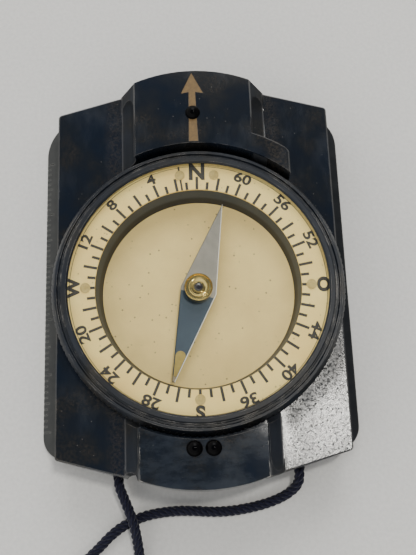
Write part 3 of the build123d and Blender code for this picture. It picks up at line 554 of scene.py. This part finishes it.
def make_cotton():
    """Dark navy cotton: yarn lines run round each strand, coloured darker where they dip, with pale dust
    on the high fibres.
    """
    paint = Paint("cord_cotton", Roughness=0.9, Specular_IOR_Level=0.2)
    paint.set(Sheen_Weight=0.12, Sheen_Roughness=0.5)
    yarn = paint.add("SeparateXYZ", {"Vector": paint.add("TexCoord").outputs["UV"]})
    turns = paint.times(yarn.outputs["X"], YARN_LINES)
    lines = paint.math("ADD", turns, paint.times(yarn.outputs["Y"], YARN_LINES_PER_MM))
    wave = paint.math("SINE", paint.times(lines, 2 * math.pi))
    fuzz = paint.noise(4.0, 3)
    height = paint.math("ADD", paint.times(wave, 0.5), fuzz)
    # Painted shade: the colour darkens where the yarn lines and fuzz dip, following the height that
    # drives the bump.
    shade, navy = colour(0.003, 0.0035, 0.011), colour(0.009, 0.01, 0.028)
    base = paint.mix(paint.fade(height, 0.0, 1.2), shade, navy)
    base = paint.mix(paint.fade(fuzz, 0.64, 0.8), base, colour(0.045, 0.045, 0.08))
    paint.set(Base_Color=base)
    paint.bump(height, 0.05 * MM)
    return paint


housing_paint = make_bakelite(
    "bakelite_body", brown_share=0.5, gloss=0.09, mirror=0.5,
    edge_reach=0.2 * MM, edge_wear_and_highlight_grey=0.6, pitted=True,
)
# The ring's pale edges are a painted highlight along its edge lines.
ring_paint = make_bakelite(
    "bakelite_ring", brown_share=0.55, gloss=0.4, mirror=0.25,
    edge_reach=0.1 * MM, edge_wear_and_highlight_grey=0.75, pitted=False,
)
needle_paint = make_needle()
brass_paint = make_metal("hub_brass", (0.6, 0.47, 0.18), 0.14, 0.8)
steel_paint = make_metal("plain_steel", (0.4, 0.41, 0.42), 0.35)
scale_card_paint = make_card("scale_card", colour(0.96, 0.76, 0.30), colour(0.88, 0.63, 0.22), 0.5)
dial_card_paint = make_card("dial_card", colour(0.88, 0.67, 0.275), colour(0.74, 0.55, 0.22), 0.8)
capsule_paint = make_capsule()
bead_paint = make_simple(
    "bead_black", colour(0.0008, 0.0008, 0.001), colour(0.0015, 0.0015, 0.002), 0.07, 0.8, 0.002,
    Specular_IOR_Level=0.05,
)
gasket_paint = make_simple(
    "gasket_rubber", colour(0.012, 0.012, 0.012), colour(0.02, 0.02, 0.019), 0.75,
)
jewel_paint = make_simple(
    "jewel_stone", colour(0.012, 0.008, 0.008), colour(0.03, 0.022, 0.022), 0.08, 1.0, 0.001,
    Coat_Weight=1.0,
)
ink_paint = make_simple("print_ink", colour(0.012, 0.012, 0.014), colour(0.07, 0.06, 0.045), 0.7, 3.5)
cotton_paint = make_cotton()

CAD_PAINTS = {
    "housing": housing_paint,
    "base_plate": make_enamel(),
    "base_screws": steel_paint,
    "capsule_screws": steel_paint,
    "direction_arrow": make_arrow(),
    "front_sight_bead": bead_paint,
    "rear_sight_bead_left": bead_paint,
    "rear_sight_bead_right": bead_paint,
    "ring_spring": steel_paint,
    "capsule_bowl": capsule_paint,
    "dial_plate": dial_card_paint,
    "pivot_base": brass_paint,
    "pivot_pin": steel_paint,
    "dial_ring": ring_paint,
    "scale_ring": scale_card_paint,
    "scale_lume_dots": make_lume("lume_dots", colour(0.58, 0.45, 0.19), colour(0.38, 0.28, 0.1)),
    "crystal_gasket": gasket_paint,
    "crystal": make_crystal(),
    "crystal_retainer": ring_paint,
    "needle_blade": needle_paint,
    "needle_hub": brass_paint,
    "needle_jewel": jewel_paint,
    "needle_lume": make_lume("lume_drop", colour(0.4, 0.31, 0.1), colour(0.28, 0.2, 0.06)),
    "lanyard_inner_run": cotton_paint,
}
for node_name, paint in CAD_PAINTS.items():
    nodes[node_name].data.materials.clear()
    nodes[node_name].data.materials.append(paint.data)

# Rounded edges on the moulded and machined pieces, so that they catch the light.
ROUNDED = {
    "housing": 0.16 * MM,
    "base_plate": 0.12 * MM,
    "dial_ring": 0.05 * MM,
    "crystal_retainer": 0.05 * MM,
    "needle_hub": 0.04 * MM,
}
WELD_REACH = 0.001 * MM
ROUND_SEGMENTS = 3
ROUND_ANGLE = math.radians(35)
for node_name, width in ROUNDED.items():
    weld = nodes[node_name].modifiers.new("weld", "WELD")
    weld.merge_threshold = WELD_REACH
    bevel = nodes[node_name].modifiers.new("bevel", "BEVEL")
    bevel.width = width
    bevel.segments = ROUND_SEGMENTS
    bevel.limit_method = "ANGLE"
    bevel.angle_limit = ROUND_ANGLE

# ---------------------------------------------------------------- lanyard
cord_control = LEFT_ROUTE + coil_route() + RIGHT_ROUTE
cord_path, cord_length = spaced_points(cord_line("lanyard_line", cord_control), CORD_STEP)
lanyard_mesh = rope_mesh("lanyard", cord_path, cord_length, CORD_DIAMETER)
lanyard = add_piece("lanyard", lanyard_mesh, "body", cotton_paint.data)
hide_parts("lanyard_left_run", "lanyard_coil", "lanyard_right_run")
print("lanyard length", round(cord_length, 4))

# ------------------------------------------------------------ scale print
SCALE_TURN = math.radians(-1.0)          # the dial ring's setting at rest
SCALE_DIVISIONS = 64
SCALE_INNER = 17.25 * MM
LONG_TICK_END = 19.55 * MM
SHORT_TICK_END = 18.6 * MM
CARDINAL_TICK_END = 18.0 * MM
TICK_WIDTH = 0.46 * MM
DECLINATION_WIDTH = 0.32 * MM
PRINT_HEIGHT = 0.015 * MM
SCALE_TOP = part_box("scale_ring")[1].z
SCALE_OUTER_SHOWN = 21.65 * MM
RIM_LINE_RADIUS = 21.42 * MM
RIM_LINE_WIDTH = 0.09 * MM
RIM_SEGMENTS = 192
LETTERS = {4: "W", 8: "S", 12: "O"}
NUMBERED = 16                            # headings that carry a letter or a number
DIVISIONS_PER_NUMBER = SCALE_DIVISIONS // NUMBERED
# Each style: radius, em, how much bolder, and how much wider.
NORTH_STYLE = (20.35 * MM, 4.1 * MM, 0.17 * MM, 0.93)
LETTER_STYLE = (20.75 * MM, 2.8 * MM, 0.15 * MM, 1.1)
NUMERAL_STYLE = (20.55 * MM, 2.45 * MM, 0.08 * MM, 1.25)
GLYPH_SMOOTHNESS = 6
DECLINATION = math.radians(8.44)         # west of north


def print_bar(maker, heading, inner, outer, width):
    """A radial bar of ink, heading counter-clockwise from north."""
    turn = Matrix.Rotation(heading, 4, "Z")
    corners = [(-width / 2, inner), (width / 2, inner), (width / 2, outer), (-width / 2, outer)]
    lower = [maker.verts.new(turn @ Vector((x, y, SCALE_TOP))) for x, y in corners]
    upper = [maker.verts.new(turn @ Vector((x, y, SCALE_TOP + PRINT_HEIGHT))) for x, y in corners]
    maker.faces.new(reversed(lower))
    maker.faces.new(upper)
    for k in range(len(corners)):
        following = (k + 1) % len(corners)
        maker.faces.new((lower[k], lower[following], upper[following], upper[k]))


def print_text(maker, text, heading, radius, em, embolden, widen):
    """Raised lettering whose top points outwards."""
    font = bpy.data.curves.new("glyph", "FONT")
    font.body = text
    font.size = em
    font.align_x, font.align_y = "CENTER", "CENTER"
    font.offset = embolden
    font.extrude = PRINT_HEIGHT / 2
    font.resolution_u = GLYPH_SMOOTHNESS
    glyph = bpy.data.objects.new("glyph", font)
    bpy.context.scene.collection.objects.link(glyph)
    bpy.context.view_layer.update()
    mesh = bpy.data.meshes.new_from_object(glyph)
    lift = Matrix.Translation((0, radius, SCALE_TOP + PRINT_HEIGHT / 2))
    mesh.transform(Matrix.Rotation(heading, 4, "Z") @ lift @ Matrix.Diagonal((widen, 1, 1, 1)))
    maker.from_mesh(mesh)
    bpy.data.meshes.remove(mesh)
    bpy.data.objects.remove(glyph)


print_maker = bmesh.new()
for division in range(SCALE_DIVISIONS):
    heading = SCALE_TURN + 2 * math.pi * division / SCALE_DIVISIONS
    quarter = division % (SCALE_DIVISIONS // 4) == 0
    if division % 2:
        tick_end = SHORT_TICK_END
    else:
        tick_end = CARDINAL_TICK_END if quarter and division else LONG_TICK_END
    print_bar(print_maker, heading, SCALE_INNER, tick_end, TICK_WIDTH)
for sixteenth in range(NUMBERED):
    heading = SCALE_TURN + 2 * math.pi * sixteenth / NUMBERED
    if sixteenth == 0:
        print_text(print_maker, "N", heading, *NORTH_STYLE)
    elif sixteenth in LETTERS:
        print_text(print_maker, LETTERS[sixteenth], heading, *LETTER_STYLE)
    else:
        print_text(print_maker, str(DIVISIONS_PER_NUMBER * sixteenth), heading, *NUMERAL_STYLE)
print_bar(print_maker, SCALE_TURN + DECLINATION, SCALE_INNER, SCALE_OUTER_SHOWN, DECLINATION_WIDTH)
rim_chord = 2 * RIM_LINE_RADIUS * math.tan(math.pi / RIM_SEGMENTS)
for segment in range(RIM_SEGMENTS):
    heading = 2 * math.pi * segment / RIM_SEGMENTS
    print_bar(print_maker, heading, RIM_LINE_RADIUS, RIM_LINE_RADIUS + RIM_LINE_WIDTH, rim_chord)
scale_print_mesh = bpy.data.meshes.new("scale_print")
print_maker.to_mesh(scale_print_mesh)
print_maker.free()
add_piece("scale_print", scale_print_mesh, "dial", ink_paint.data)

# ------------------------------------------------------- floor and lights
FLOOR_HALF = 0.6
floor_maker = bmesh.new()
bmesh.ops.create_grid(floor_maker, x_segments=1, y_segments=1, size=FLOOR_HALF)
floor_mesh = bpy.data.meshes.new("floor")
floor_maker.to_mesh(floor_mesh)
floor_maker.free()
floor = bpy.data.objects.new("floor", floor_mesh)
floor_paint = make_simple(
    "floor_pale", colour(0.5, 0.5, 0.49), colour(0.68, 0.675, 0.66), 0.6, 1.5, 0.03,
)
floor_mesh.materials.append(floor_paint.data)
bpy.context.scene.collection.objects.link(floor)

TENT_COLOUR = (1.58, 1.55, 1.48, 1.0)
OVERHEAD_COLOUR = (0.14, 0.175, 0.24, 1.0)
OPENING_START, OPENING_END = 0.8, 0.87   # height in the sky, 1 straight overhead
DARK_SIDE_START, DARK_SIDE_END = 0.1, 0.75
DARK_SIDE_SHARE = 0.3                    # of the light on the bright side
WINDOW_PLACE = (0.1, 0.95, 0.8)
WINDOW_TARGET = (0.0, 0.0, 0.0)
WINDOW_SIDE = 0.7
WINDOW_POWER = 6.0
LAMP_PLACE = (0.107, 0.042, 0.6)
LAMP_TARGET = (0.018, -0.022, 0.01)      # the rubbed corner, which mirrors it to the camera
LAMP_SIZE = (0.036, 0.07)
LAMP_POWER = 1.5
LAMP_TINT = (1.0, 0.97, 0.9)

world = bpy.data.worlds.new("studio")
world.use_nodes = True
sky = world.node_tree
# Dim straight overhead and bright lower down, like a white tent with an opening for the camera.
direction = sky.nodes.new("ShaderNodeTexCoord")
parts = sky.nodes.new("ShaderNodeSeparateXYZ")
opening = sky.nodes.new("ShaderNodeValToRGB")
opening.color_ramp.elements[0].position = OPENING_START
opening.color_ramp.elements[0].color = TENT_COLOUR
opening.color_ramp.elements[1].position = OPENING_END
opening.color_ramp.elements[1].color = OVERHEAD_COLOUR
sky.links.new(direction.outputs["Generated"], parts.inputs["Vector"])
sky.links.new(parts.outputs["Z"], opening.inputs["Fac"])
sky.links.new(opening.outputs["Color"], sky.nodes["Background"].inputs["Color"])
# The room's dark side lies to the east.
dark_side = sky.nodes.new("ShaderNodeMapRange")
dark_side.inputs["From Min"].default_value = DARK_SIDE_START
dark_side.inputs["From Max"].default_value = DARK_SIDE_END
dark_side.inputs["To Min"].default_value = 1.0
dark_side.inputs["To Max"].default_value = DARK_SIDE_SHARE
sky.links.new(parts.outputs["X"], dark_side.inputs["Value"])
sky.links.new(dark_side.outputs["Result"], sky.nodes["Background"].inputs["Strength"])
bpy.context.scene.world = world


def add_light(name, place, target, width, depth, power, tint=(1.0, 1.0, 1.0)):
    """A soft box at place, in metres, aimed at target."""
    data = bpy.data.lights.new(name, "AREA")
    data.shape = "RECTANGLE"
    data.size = width
    data.size_y = depth
    data.energy = power
    data.color = tint
    light = bpy.data.objects.new(name, data)
    light.location = place
    light.rotation_euler = (Vector(target) - Vector(place)).to_track_quat("-Z", "Y").to_euler()
    bpy.context.scene.collection.objects.link(light)


add_light("window", WINDOW_PLACE, WINDOW_TARGET, WINDOW_SIDE, WINDOW_SIDE, WINDOW_POWER)
add_light("lamp", LAMP_PLACE, LAMP_TARGET, *LAMP_SIZE, LAMP_POWER, LAMP_TINT)
